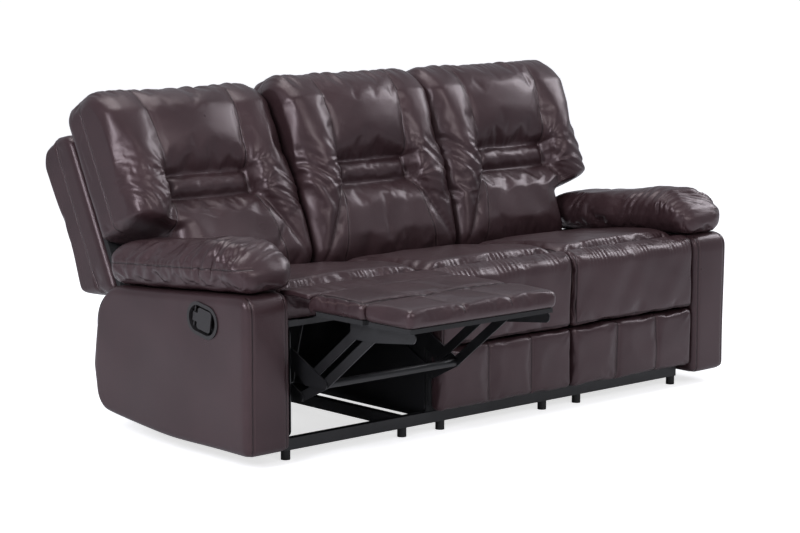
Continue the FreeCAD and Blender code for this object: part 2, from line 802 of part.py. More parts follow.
def arm(side):
    name = "left" if side == LEFT else "right"
    inner, outer = v.overall_width / 2 - v.arm_width, v.overall_width / 2
    low, high = (inner, outer) if side == RIGHT else (-outer, -inner)
    wire = arm_outline()
    body = slice_of(wire, 0, low, high)
    rims = [edge for edge in body.Edges if edge.BoundBox.XLength < 1e-6]
    body = body.makeChamfer(v.arm_edge_bevel, rims)
    shell = body.cut(slice_of(wire, v.arm_wall, low + v.arm_wall, high - v.arm_wall))
    padding = doc.addObject("Part::Feature", name + "_arm_padding")
    padding.Shape = shell
    recess = slot_block(name + "_recess", side, "cup_radius + fit_gap", "-cup_depth - 1", "cup_depth + 1")
    cover = doc.addObject("Part::Cut", name + "_arm_casing")
    cover.Base = padding
    cover.Tool = recess
    keep(cover, name + "_arm_cover")
    rim = v.arm_wall + v.fit_gap
    outside = slice_of(wire, rim, low + rim, high - rim)
    window = slice_of(wire, rim + v.arm_timber, low + rim, high - rim)
    ring = doc.addObject("Part::Feature", name + "_timber_ring")
    ring.Shape = outside.cut(window)
    timber = doc.addObject("Part::Cut", name + "_timber")
    timber.Base = ring
    timber.Tool = recess
    keep(timber, name + "_arm_frame")
    keep(arm_pad(name, side), name + "_arm_pad")
    lever(name, side)


def arm_top(y):
    """Height of the arm panel's top line."""
    share = (y + v.arm_front) / (v.arm_rear + v.arm_front)
    return v.arm_front_top + share * (v.arm_rear_top - 6 - v.arm_front_top)


def arm_pad(name, side):
    """A stuffed roll along the top of the arm, fullest at its front end."""
    front, rear = -v.arm_pad_front, v.arm_pad_rear
    stations = (
        (0.0, 0.46, 28), (0.03, 0.74, 11), (0.12, 0.96, 2), (0.3, 1.0, 0),
        (0.8, 1.0, 2), (0.95, 0.9, 8), (1.0, 0.5, 32),
    )
    low, high = v.arm_pad_inner, v.arm_pad_outer
    if side == LEFT:
        low, high = -high, -low
    wires = []
    for share, fullness, inset in stations:
        y = front + share * (rear - front)
        bottom = arm_top(max(y, -v.arm_front)) + v.fit_gap
        lift = inset * 0.5
        top = v.arm_pad_front_height + share * (v.arm_pad_rear_height - v.arm_pad_front_height)
        height = (top - bottom) * fullness
        corner = min(0.38 * height, 40)
        wires.append(crowned_section(
            lambda across, up: Vector(across, y, up), (low + inset, high - inset),
            (bottom + lift, bottom + lift + height - 8), corner, (0, 0, 8, 0)))
    return loft(name + "_pad_loft", wires)


# Pull levers

def slot_block(name, side, radius, start, thick):
    """A block with round ends on the arm's outer face, from start outwards."""
    run = (v.bezel_length - v.bezel_width) / 2
    body = plate(name, [([(-run, 0.0), (run, 0.0)], radius)], thick)
    body.Placement = Placement(Vector(0, -v.lever_forward, v.lever_height), Rotation(TURN_AXIS, v.lever_tilt))
    low = f"overall_width / 2 + ({start})"
    bind(body, Placement_of_Base_of_x=low if side == RIGHT else f"-({low}) - ({thick})")
    return body


def lever(name, side):
    """A moulded cup in the arm with a paddle hinged at its rear."""
    tilt = Rotation(TURN_AXIS, v.lever_tilt)
    face = side * v.overall_width / 2
    place = Placement(Vector(face, -v.lever_forward, v.lever_height), tilt)
    flange = slot_block(name + "_flange", side, "bezel_width / 2", "0", "bezel_proud")
    cup = slot_block(name + "_cup", side, "cup_radius", "-cup_depth", "cup_depth")
    bore = slot_block(name + "_cup_bore", side, "cup_radius - cup_wall", "cup_wall - cup_depth",
                      "cup_depth + bezel_proud")
    dish = doc.addObject("Part::Cut", name + "_dish")
    dish.Base = fused(name + "_dish_blank", [flange, cup])
    dish.Tool = bore
    run = (v.bezel_length - v.bezel_width) / 2
    inside = v.cup_radius - v.cup_wall
    pin_back = run + inside - v.lever_pin_inset
    pin_half = math.sqrt(inside ** 2 - (pin_back - run) ** 2) + v.cup_wall / 2
    depth = -side * (v.paddle_inset + v.lever_barrel_radius)
    pin = doc.addObject("Part::Cylinder", name + "_lever_pin")
    bind(pin, Radius="lever_pin_radius", Height=f"{2 * pin_half}")
    pin.Placement = place.multiply(Placement(Vector(depth, pin_back, -pin_half), Rotation()))
    keep(fused(name + "_dish_and_pin", [dish, pin]), name + "_lever_bezel")

    front = -run - inside + v.finger_gap
    low = -v.paddle_inset - v.paddle_thick if side == RIGHT else v.paddle_inset
    blade = doc.addObject("Part::Box", name + "_blade")
    bind(blade, Length="paddle_thick", Width="paddle_length", Height="paddle_width")
    blade.Placement = place.multiply(Placement(Vector(low, front, -v.paddle_width / 2), Rotation()))
    soft_blade = doc.addObject("Part::Fillet", name + "_soft_blade")
    soft_blade.Base = blade
    doc.recompute()
    across = [index for index, edge in enumerate(blade.Shape.Edges, 1)
              if abs(abs(edge.tangentAt(edge.FirstParameter).x) - 1) < 1e-6]
    soft_blade.Edges = [(index, 9.0, 9.0) for index in across]
    tab = doc.addObject("Part::Box", name + "_tab")
    tab_run = pin_back - front - v.paddle_length + 2
    bind(tab, Length="paddle_thick", Width=f"{tab_run}", Height="paddle_tab_width")
    tab.Placement = place.multiply(
        Placement(Vector(low, front + v.paddle_length - 2, -v.paddle_tab_width / 2), Rotation()))
    barrel = doc.addObject("Part::Cylinder", name + "_barrel")
    bind(barrel, Radius="lever_barrel_radius", Height="paddle_tab_width")
    barrel.Placement = place.multiply(Placement(Vector(depth, pin_back, -v.paddle_tab_width / 2), Rotation()))
    eye = doc.addObject("Part::Cylinder", name + "_eye")
    bind(eye, Radius="lever_pin_radius + lever_pin_clearance", Height="paddle_tab_width + 2")
    eye.Placement = place.multiply(Placement(Vector(depth, pin_back, -v.paddle_tab_width / 2 - 1), Rotation()))
    paddle = doc.addObject("Part::Cut", name + "_paddle")
    paddle.Base = fused(name + "_paddle_blank", [soft_blade, tab, barrel])
    paddle.Tool = eye
    keep(paddle, name + "_lever_paddle")
    print(name, "lever pin", [round(part, 4) for part in place.multVec(Vector(depth, pin_back, 0))],
          "along", [round(part, 4) for part in tilt.multVec(Vector(0, 0, 1))])


# The three seats

def recliner(side, footrest_angle, lean):
    unit = "left" if side == LEFT else "right"
    outer = "overall_width / 2 - arm_width"
    frame_span = mirrored(side, "seat_joint", f"{outer} - 7")
    frame, along = seat_frame(unit, frame_span)
    keep(frame, unit + "_seat_frame")
    keep(straps(unit, frame_span, along), unit + "_seat_straps")
    inner_face = value(outer)
    low, high = v.seat_joint + v.soft_gap, inner_face - v.soft_gap
    if side == LEFT:
        low, high = -high, -low
    keep(seat_cushion(unit, low, high), unit + "_seat_cushion")
    footrest(unit, low + 1, high - 1, footrest_angle)
    linkage(unit, side, footrest_angle)
    arms = [
        hinge_arm(f"{unit}_{where}_arm", layer_low(side, where, "hinge_arm_offset", "hinge_arm_thick"))
        for where in ("outer", "inner")
    ]
    shell_span = mirrored(side, "back_joint + shell_joint_gap", "shell_outer")
    cushion = (v.back_joint + v.soft_gap, v.back_outer)
    waist = (v.back_joint + v.soft_gap, v.back_waist_outer)
    if side == LEFT:
        cushion, waist = (-cushion[1], -cushion[0]), (-waist[1], -waist[0])
    back(unit, shell_span, cushion, waist, arms, lean)


def middle():
    unit = "middle"
    span = ("-seat_joint + 3 * soft_gap", "seat_joint - 3 * soft_gap")
    rail_top = v.glide_height + v.rail_height
    boards = []
    for side in (LEFT, RIGHT):
        board = plate(f"middle_board_{side + 1}", [(side_outline(), "plate_reach")], "timber_thick",
                      studs=hinge_stud(0.0)[1:], inward=-side)
        low = span[0] if side == LEFT else f"{span[1]} - timber_thick"
        bind(board, Placement_of_Base_of_x=low)
        boards.append(board)
    level = ("glide_height + rail_height", "frame_top - frame_thick")
    front_face = "-seat_front + pad_thick + board_thick"
    boards.append(box("middle_front_cross", span, (front_face, f"{front_face} + timber_thick"), level))
    boards.append(box("middle_rear_cross", span, ("rear_rail_back - 20 - timber_thick", "rear_rail_back - 20"),
                      (level[0], f"{level[0]} + rear_cross_height")))
    keep(fused("middle_box_boards", boards), "middle_base_box")
    frame, along = seat_frame(unit, span)
    keep(frame, "middle_seat_frame")
    keep(straps(unit, span, along), "middle_seat_straps")
    low, high = -v.seat_joint + v.soft_gap, v.seat_joint - v.soft_gap
    keep(seat_cushion(unit, low, high), "middle_seat_cushion")
    split = v.panel_split
    keep(front_pad("middle_upper_loft", low + 1, high - 1, split + v.soft_gap, v.panel_top, ()),
         "middle_upper_panel")
    keep(front_pad("middle_lower_loft", low + 1, high - 1, v.panel_bottom, split - v.soft_gap, (0.36, 0.68)),
         "middle_lower_panel")
    keep(box("middle_board_blank", ("-seat_joint + soft_gap + board_margin", "seat_joint - soft_gap - board_margin"),
             ("-seat_front + pad_thick", front_face),
             ("panel_bottom + board_margin", "panel_top - board_margin")), "middle_front_board")
    arms = [
        hinge_arm("middle_left_arm", f"{span[0]} + timber_thick"),
        hinge_arm("middle_right_arm", f"{span[1]} - timber_thick - hinge_arm_thick"),
    ]
    shell_span = ("-back_joint + shell_joint_gap / 2", "back_joint - shell_joint_gap / 2")
    cushion = (-v.back_joint + v.soft_gap, v.back_joint - v.soft_gap)
    back(unit, shell_span, cushion, cushion, arms, v.upright_lean)


base()
recliner(LEFT, -v.swing, v.upright_lean + v.tv_lean)
middle()
recliner(RIGHT, 0.0, v.upright_lean)
arm(LEFT)
arm(RIGHT)
doc.recompute()

failed = [thing.Name for thing in doc.Objects if {"Invalid", "Error"} & set(thing.State)]
if failed:
    raise RuntimeError(f"these did not rebuild: {failed}")
for part in parts:
    shape = part.Shape
    if shape.isNull() or not shape.isValid() or not shape.Solids:
        raise RuntimeError(f"{part.Label} is not a valid solid")

os.makedirs("parts", exist_ok=True)
for part in parts:
    part.Shape.exportStep(os.path.join("parts", part.Label + ".step"))
print(len(parts), "sub-parts,", sum(len(part.Shape.Solids) for part in parts), "solids")
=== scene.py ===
"""Reclining sofa: stuffed covers, finishes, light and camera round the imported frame."""
import json
import math
import bmesh
import bpy
import numpy as np
from mathutils import Matrix, Vector


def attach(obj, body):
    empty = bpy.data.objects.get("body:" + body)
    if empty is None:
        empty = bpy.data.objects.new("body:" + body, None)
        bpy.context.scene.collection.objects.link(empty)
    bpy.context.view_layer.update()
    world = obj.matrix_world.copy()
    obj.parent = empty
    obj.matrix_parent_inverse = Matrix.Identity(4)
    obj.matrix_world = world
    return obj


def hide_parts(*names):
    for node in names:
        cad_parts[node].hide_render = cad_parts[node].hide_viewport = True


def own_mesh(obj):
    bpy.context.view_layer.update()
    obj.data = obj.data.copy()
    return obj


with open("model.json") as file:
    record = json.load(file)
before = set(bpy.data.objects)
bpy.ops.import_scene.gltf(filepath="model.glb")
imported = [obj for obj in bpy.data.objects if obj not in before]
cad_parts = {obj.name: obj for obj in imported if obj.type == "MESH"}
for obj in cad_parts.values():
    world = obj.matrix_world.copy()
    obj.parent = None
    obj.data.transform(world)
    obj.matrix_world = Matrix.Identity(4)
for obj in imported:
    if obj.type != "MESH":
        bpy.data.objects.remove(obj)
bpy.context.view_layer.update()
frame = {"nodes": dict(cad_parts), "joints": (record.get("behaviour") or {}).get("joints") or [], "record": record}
scene = bpy.context.scene
joints = {joint["name"]: joint for joint in frame["joints"]}

HINGE = Vector(joints["left_back_recline"]["pos_m"])
LEAN = {"left": 27, "middle": 20, "right": 20}
BODY = {"left": "left_back", "middle": "sofa_base", "right": "right_back"}
FOOTREST_BODY = {"left": "left_footrest", "middle": "sofa_base", "right": "right_footrest"}
POLE = Vector((0, -0.3325, 0.4975))
FAR = 1.0
COVER_CELL = 0.0085

# Heights over the hinge of the creases above and below the lumbar roll, and of the bolsters' lower ends
UPPER_CREASE = 0.365
LOWER_CREASE = 0.290
BOLSTER_END = 0.200
BOLSTER_STEP = 0.055

# Sides of the backs, seats and arms, measured from the middle of the sofa
BACK_OUTER = 0.8845
BACK_WAIST = 0.7505
BACK_SPLIT = 0.2845
MIDDLE_BACK_HALF = 0.2815
SHELL_OUTER = 0.860
SHELL_SPLIT = 0.291
MIDDLE_SHELL_HALF = 0.279
SEATS = {"left": (-0.7955, -0.268), "middle": (-0.265, 0.265), "right": (0.268, 0.7955)}
PANEL_GAP = 0.001
ARM_FRONT = -0.306
ARM_REAR = 0.406
ARM_INNER = 0.797
ARM_OUTER = 0.950

# Front panels and the open footrest
UPPER_SPAN = (0.2465, 0.4690)
LOWER_SPAN = (0.065, 0.2435)
LOWER_SEAMS = (0.36, 0.68)
BRIDGE_HEIGHT = 0.459
SEAT_FRONT = -0.2440

# Cloth behind the mechanisms and the lever's cup
CLOTH_SIDES = (0.2705, 0.7525)
CUP_PLACE = (-0.117, 0.384)
CUP_HALF_LENGTH = 0.021
CUP_RADIUS = 0.0405
CUP_TILT = 10

# Stitches, and the painted shade at the bottom of the seam grooves
STITCH_LENGTH = 0.0052
STITCH_OFFSET = 0.006
PALE_BROWN = (0.040, 0.0215, 0.024)
DEEP_BROWN = (0.031, 0.0165, 0.0185)
THREAD = (0.085, 0.052, 0.048)
SEAM_PAINTED_SHADE = (0.010, 0.006, 0.006)


# Finishes

def finish(name, colour, roughness, coat=0.0, sheen=0.0):
    """A plain finish and its shader."""
    material = bpy.data.materials.new(name)
    material.use_nodes = True
    shader = material.node_tree.nodes["Principled BSDF"]
    shader.inputs["Base Color"].default_value = (*colour, 1)
    shader.inputs["Roughness"].default_value = roughness
    shader.inputs["Coat Weight"].default_value = coat
    shader.inputs["Coat Roughness"].default_value = 0.2
    shader.inputs["Sheen Weight"].default_value = sheen
    return material, shader


class Graph:
    """Short ways to add and join a material's nodes."""

    def __init__(self, material):
        self.tree = material.node_tree

    def add(self, kind, **settings):
        node = self.tree.nodes.new(kind)
        for key, value in settings.items():
            setattr(node, key, value)
        return node

    def link(self, source, target):
        self.tree.links.new(source, target)

    def math(self, operation, first, second=None):
        node = self.add("ShaderNodeMath", operation=operation)
        for socket, value in zip(node.inputs, (first, second)):
            if isinstance(value, (int, float)):
                socket.default_value = value
            elif value is not None:
                self.link(value, socket)
        return node.outputs[0]

    def ramp(self, source, low, high, bottom, top):
        node = self.add("ShaderNodeMapRange", interpolation_type="SMOOTHSTEP")
        for socket, value in zip(node.inputs[1:5], (low, high, bottom, top)):
            socket.default_value = value
        self.link(source, node.inputs[0])
        return node.outputs[0]

    def noise(self, place, scale, detail, roughness=0.5):
        node = self.add("ShaderNodeTexNoise")
        node.inputs["Scale"].default_value = scale
        node.inputs["Detail"].default_value = detail
        node.inputs["Roughness"].default_value = roughness
        self.link(place, node.inputs["Vector"])
        return node.outputs["Fac"]

    def bump(self, height, distance, under=None):
        node = self.add("ShaderNodeBump")
        node.inputs["Distance"].default_value = distance
        self.link(height, node.inputs["Height"])
        if under is not None:
            self.link(under, node.inputs["Normal"])
        return node.outputs["Normal"]

    def mix(self, factor, first, second):
        node = self.add("ShaderNodeMix", data_type="RGBA")
        self.link(factor, node.inputs[0])
        for socket, value in ((node.inputs[6], first), (node.inputs[7], second)):
            if isinstance(value, tuple):
                socket.default_value = (*value, 1)
            else:
                self.link(value, socket)
        return node.outputs[2]


def leather():
    """Glossy dark brown faux leather with a fine grain, sewn seams with painted shade darkening their grooves, and
    rows of stitches.
    """
    material, shader = finish("faux_leather", (0.036, 0.019, 0.021), 0.34, coat=0.12)
    shader.inputs["Specular Tint"].default_value = (1.0, 0.80, 0.84, 1)
    graph = Graph(material)
    place = graph.add("ShaderNodeTexCoord").outputs["Object"]
    blotches = graph.noise(place, 7, 3)
    cells = graph.add("ShaderNodeTexVoronoi", feature="SMOOTH_F1")
    cells.inputs["Scale"].default_value = 620
    cells.inputs["Smoothness"].default_value = 0.6
    graph.link(place, cells.inputs["Vector"])
    crinkle = graph.noise(place, 260, 4, 0.6)
    side = graph.add("ShaderNodeAttribute", attribute_name="seam_side").outputs["Fac"]
    run = graph.add("ShaderNodeAttribute", attribute_name="seam_run").outputs["Fac"]
    off = graph.math("ABSOLUTE", side)
    groove_and_painted_shade = graph.ramp(off, 0.0, 0.0028, 0.0, 1.0)
    from_row = graph.math("ABSOLUTE", graph.math("SUBTRACT", off, STITCH_OFFSET))
    row = graph.ramp(from_row, 0.0003, 0.0009, 1.0, 0.0)
    along = graph.math("FRACT", graph.math("DIVIDE", run, STITCH_LENGTH))
    step = graph.math("ABSOLUTE", graph.math("SUBTRACT", along, 0.5))
    dash = graph.ramp(step, 0.3, 0.42, 1.0, 0.0)
    thread = graph.math("MULTIPLY", row, dash)
    tone = graph.mix(graph.ramp(blotches, 0.3, 0.7, 0.0, 1.0), DEEP_BROWN, PALE_BROWN)
    sewn = graph.mix(graph.math("MULTIPLY", thread, 0.6), tone, THREAD)
    # Painted shade: the base colour turns near black along the middle of each seam groove; the same mask also
    # drives the groove's bump below
    colour_with_painted_seam_shade = graph.mix(groove_and_painted_shade, SEAM_PAINTED_SHADE, sewn)
    graph.link(colour_with_painted_seam_shade, shader.inputs["Base Color"])
    graph.link(graph.ramp(blotches, 0.2, 0.8, 0.27, 0.35), shader.inputs["Roughness"])
    grain = graph.bump(cells.outputs["Distance"], 0.00028)
    crinkled = graph.bump(crinkle, 0.00022, grain)
    seamed = graph.bump(groove_and_painted_shade, 0.0016, crinkled)
    graph.link(graph.bump(thread, 0.0005, seamed), shader.inputs["Normal"])
    return material


def black_steel():
    """Satin black powder coat with a light texture."""
    material, shader = finish("black_steel", (0.012, 0.012, 0.013), 0.38)
    graph = Graph(material)
    place = graph.add("ShaderNodeTexCoord").outputs["Object"]
    speckle = graph.noise(place, 900, 2)
    graph.link(graph.bump(speckle, 0.00008), shader.inputs["Normal"])
    graph.link(graph.ramp(graph.noise(place, 14, 3), 0.3, 0.7, 0.33, 0.45), shader.inputs["Roughness"])
    return material


def lining():
    """Black non-woven cloth over the boards."""
    material, shader = finish("black_lining", (0.010, 0.010, 0.011), 0.85, sheen=0.1)
    graph = Graph(material)
    place = graph.add("ShaderNodeTexCoord").outputs["Object"]
    graph.link(graph.bump(graph.noise(place, 500, 5, 0.7), 0.0003), shader.inputs["Normal"])
    return material


def webbing():
    """Dark woven elastic straps."""
    material, shader = finish("elastic_webbing", (0.03, 0.03, 0.033), 0.8)
    graph = Graph(material)
    place = graph.add("ShaderNodeTexCoord").outputs["Object"]
    weave = graph.add("ShaderNodeTexWave", bands_direction="Y")
    weave.inputs["Scale"].default_value = 160
    graph.link(place, weave.inputs["Vector"])
    graph.link(graph.bump(weave.outputs["Fac"], 0.0004), shader.inputs["Normal"])
    return material


def moulding():
    """Satin black plastic with a fine texture, for the lever and its cup."""
    material, shader = finish("black_moulding", (0.022, 0.020, 0.021), 0.42)
    graph = Graph(material)
    place = graph.add("ShaderNodeTexCoord").outputs["Object"]
    graph.link(graph.bump(graph.noise(place, 1400, 2), 0.00006), shader.inputs["Normal"])
    return material


LEATHER = leather()
FINISHES = {
    "leather": LEATHER, "black_steel": black_steel(), "timber": lining(), "webbing": webbing(),
    "black_plastic": moulding(), "glide_plastic": finish("glide_plastic", (0.012, 0.012, 0.012), 0.6)[0],
}


def dress_nodes():
    """Every CAD piece that stays in view gets the finish of its slot."""
    for part in frame["record"]["subparts"]:
        mesh = frame["nodes"][part["node"]].data
        mesh.materials.clear()
        mesh.materials.append(FINISHES[part["material_slot"]])


# Stuffed blocks

def cell_block(wide, deep, tall, cell=COVER_CELL):
    """A closed block from -1 to 1 whose six faces are cut into even cells of a real size."""
    across, along, up = (max(4, round(size / cell)) for size in (wide, deep, tall))
    block = bmesh.new()
    sheets = (
        (across, along, Matrix.Translation((0, 0, 1))),
        (across, along, Matrix.Translation((0, 0, -1))),
        (across, up, Matrix.Translation((0, -1, 0)) @ Matrix.Rotation(math.pi / 2, 4, "X")),
        (across, up, Matrix.Translation((0, 1, 0)) @ Matrix.Rotation(math.pi / 2, 4, "X")),
        (up, along, Matrix.Translation((1, 0, 0)) @ Matrix.Rotation(math.pi / 2, 4, "Y")),
        (up, along, Matrix.Translation((-1, 0, 0)) @ Matrix.Rotation(math.pi / 2, 4, "Y")),
    )
    for columns, rows, place in sheets:
        bmesh.ops.create_grid(block, x_segments=columns, y_segments=rows, size=1, matrix=place)
    bmesh.ops.remove_doubles(block, verts=block.verts, dist=1e-4)
    bmesh.ops.recalc_face_normals(block, faces=block.faces)
    return block


def piece_from(block, name):
    mesh = bpy.data.meshes.new(name)
    block.to_mesh(mesh)
    block.free()
    piece = bpy.data.objects.new(name, mesh)
    scene.collection.objects.link(piece)
    return piece


def points_of(mesh):
    points = np.empty(len(mesh.vertices) * 3)
    mesh.vertices.foreach_get("co", points)
    return points.reshape(-1, 3)


def set_points(piece, points):
    piece.data.vertices.foreach_set("co", np.ascontiguousarray(points).ravel())
    piece.data.update()


def rounded(points, half, radius):
    """Points of a block from -1 to 1 moved onto a box of these half sizes with round edges."""
    half = np.array(half)
    placed = points * half
    core = np.clip(placed, radius - half, half - radius)
    out = placed - core
    length = np.maximum(np.linalg.norm(out, axis=1, keepdims=True), 1e-9)
    return core + out / length * radius


def ease(value):
    """A smooth step from 0 to 1."""
    share = np.clip(value, 0, 1)
    return share * share * (3 - 2 * share)


def cove(distance, radius):
    """1 in a crease and 0 from a radius away, along a quarter circle."""
    share = np.clip(distance / radius, 0, 1)
    return 1 - np.sqrt(np.maximum(1 - (1 - share) ** 2, 0))


def bell(value, width):
    return np.exp(-(value / width) ** 2)


def waves(place, length, seed, count=5):
    """Uneven folds of about one length along a line, between -1 and 1."""
    chance = np.random.default_rng(seed)
    total = np.zeros_like(place)
    for _ in range(count):
        total += np.sin(place * math.tau / (length * chance.uniform(0.7, 1.45)) + chance.uniform(0, math.tau))
    return total / count ** 0.5 / 1.2


def rumple(points, size, seed, count=9):
    """Soft uneven swellings of about one size, between -1 and 1."""
    chance = np.random.default_rng(seed)
    total = np.zeros(len(points))
    for _ in range(count):
        way = chance.normal(size=3)
        way *= math.tau / (size * chance.uniform(0.7, 1.6)) / np.linalg.norm(way)
        total += np.sin(points @ way + chance.uniform(0, math.tau))
    return total / count ** 0.5


def fan(x, z, centre, spokes, reach, seed):
    """Puckers that spread from a point where the cover is pulled down."""
    away = np.hypot(x - centre[0], z - centre[1])
    turn = np.arctan2(z - centre[1], x - centre[0])
    chance = np.random.default_rng(seed)
    total = sum(np.sin(turn * round(spokes * chance.uniform(0.7, 1.4)) + chance.uniform(0, math.tau))
                for _ in range(3))
    return total / 2 * np.exp(-away / reach) * ease(away / 0.02)


def stuff(piece, held, pressure=3.0, slack=0.03, frames=16, cap=0.014, bending=0.6):
    """Fills a cover that has some slack, held down where it is sewn, and limits how far it moves."""
    start = points_of(piece.data)
    sewn = piece.vertex_groups.new(name="sewn")
    for level in (0.25, 0.5, 0.75, 1.0):
        members = np.nonzero(np.abs(held - level) <= 0.125)[0]
        sewn.add([int(index) for index in members], level, "REPLACE")
    cloth = piece.modifiers.new("stuffing", "CLOTH")
    settings = cloth.settings
    settings.quality = 4
    settings.mass = 0.4
    settings.tension_stiffness = 30
    settings.compression_stiffness = 30
    settings.shear_stiffness = 12
    settings.bending_stiffness = bending
    settings.use_pressure = True
    settings.uniform_pressure_force = pressure
    settings.shrink_min = -slack
    settings.vertex_group_mass = "sewn"
    settings.effector_weights.gravity = 0
    cloth.collision_settings.use_collision = False
    cloth.point_cache.frame_end = frames
    for number in range(1, frames + 1):
        scene.frame_set(number)
    filled = points_of(piece.evaluated_get(bpy.context.evaluated_depsgraph_get()).data)
    piece.modifiers.remove(cloth)
    piece.vertex_groups.remove(sewn)
    scene.frame_set(1)
    move = filled - start
    length = np.maximum(np.linalg.norm(move, axis=1, keepdims=True), 1e-9)
    set_points(piece, start + move * np.minimum(1, cap / length))


def refine(piece):
    """One smooth subdivision, applied."""
    modifier = piece.modifiers.new("smooth", "SUBSURF")
    modifier.levels = 1
    modifier.render_levels = 1
    finer = bpy.data.meshes.new_from_object(piece.evaluated_get(bpy.context.evaluated_depsgraph_get()))
    piece.modifiers.clear()
    piece.data = finer


def push(piece, amount):
    """Moves each point along its normal."""
    normals = np.empty(len(piece.data.vertices) * 3)
    piece.data.vertex_normals.foreach_get("vector", normals)
    set_points(piece, points_of(piece.data) + normals.reshape(-1, 3) * amount[:, None])


def write_seams(piece, side, run):
    """Signed distance from the nearest seam and the run along it, for the stitches."""
    for name, values in (("seam_side", side), ("seam_run", run)):
        attribute = piece.data.attributes.new(name, "FLOAT", "POINT")
        attribute.data.foreach_set("value", values.astype(np.float32))


def nearest_seam(distances):
    """The signed distance to whichever seam is nearest."""
    stack = np.array(distances)
    pick = np.abs(stack).argmin(axis=0)
    return stack[pick, np.arange(stack.shape[1])]


def complete(piece, body, nodes):
    """Skin, body and the CAD pieces that it stands for."""
    piece.data.materials.clear()
    piece.data.materials.append(LEATHER)
    piece.data.polygons.foreach_set("use_smooth", [True] * len(piece.data.polygons))
    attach(piece, body)
    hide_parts(*nodes)
    return piece


# Backs

def seam_line(level):
    """Where a bolster's inner edge runs, as a share of the half width: in towards the creases, then out."""
    return np.interp(level, (0.03, 0.08, 0.17, 0.25, 0.29, 0.33, 0.45, 0.64),
                     (0.985, 0.90, 0.74, 0.60, 0.50, 0.48, 0.49, 0.55))


def back_front(share, level):
    """How far the front of a back stands out at a share of its half width and a height over the hinge."""
    depth = np.interp(level, (0.03, 0.10, 0.29, 0.365, 0.48, 0.56, 0.655),
                      (0.132, 0.149, 0.152, 0.152, 0.160, 0.158, 0.110))
    seam = seam_line(level)
    bolster = np.clip((share - seam) / (1.0 - seam) / 0.5, 0, 1)
    tall = np.interp(level, (0.03, 0.10, 0.20, 0.29, 0.37, 0.46, 0.56, 0.63),
                     (0.0, 0.010, 0.022, 0.030, 0.028, 0.018, 0.010, 0.002))
    roll = tall * np.sqrt(1 - (1 - bolster) ** 2)
    head = 0.046 * cove(level - UPPER_CREASE, 0.06)
    low = 0.042 * cove(LOWER_CREASE - level, 0.045)
    middle = (UPPER_CREASE + LOWER_CREASE) / 2
    tube = np.clip(np.abs(level - middle) / (UPPER_CREASE - middle), 0, 1)
    end = np.clip((share - seam + 0.10) / 0.10, 0, 1)
    lumbar = 0.046 - 0.034 * np.sqrt(1 - tube ** 2) * np.sqrt(1 - end ** 2)
    dip = np.where(level > UPPER_CREASE, head, np.where(level < LOWER_CREASE, low, lumbar))
    dip = dip * (1 - ease(bolster / 0.3))
    crown = 0.012 * (1 - np.clip(share / seam, 0, 1) ** 2) * ease((level - UPPER_CREASE) / 0.1)
    crown = crown * (1 - ease((level - 0.56) / 0.09))
    return depth + roll - dip + crown


